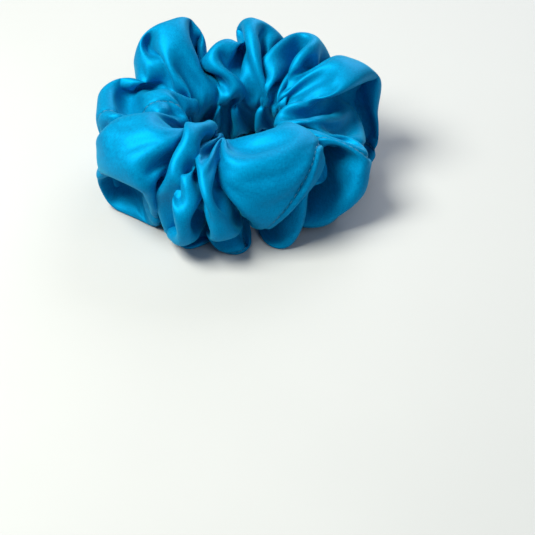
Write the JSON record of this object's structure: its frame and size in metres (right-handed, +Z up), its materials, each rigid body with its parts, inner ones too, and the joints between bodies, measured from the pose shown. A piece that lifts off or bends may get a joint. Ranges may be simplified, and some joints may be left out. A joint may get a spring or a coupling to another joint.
{
  "type": "scrunchie",
  "caption": "Large satin hair scrunchie: a gathered fabric sleeve around a stitched elastic loop, stretching open along one line.",
  "frame": {"origin": "on the table, under the middle of the loop's bounding box as it lies flat and relaxed", "axes": "+X along the loop's long way across, which is also the way it is pulled open; +Y away from the front; +Z up through the hole"},
  "size_m": [0.1245, 0.1169, 0.0593],
  "materials": {
    "satin": "shiny satin weave",
    "sewing_thread": "spun polyester thread",
    "elastic_braid": "matt braid"
  },
  "bodies": {
    "left_half": {"sleeve_left": "satin", "elastic_front_left": "elastic_braid", "elastic_back_left": "elastic_braid", "elastic_stitching": "sewing_thread", "seam_thread_left": "sewing_thread", "closing_thread": "sewing_thread"},
    "right_half": {"sleeve_right": "satin", "elastic_right": "elastic_braid", "seam_thread_right": "sewing_thread"}
  },
  "joints": [
    {"name": "stretch", "type": "slide", "parent": "left_half", "child": "right_half", "axis": [1, 0, 0], "range_m": [0, 0.08], "stiffness_N_per_m": 100}
  ]
}
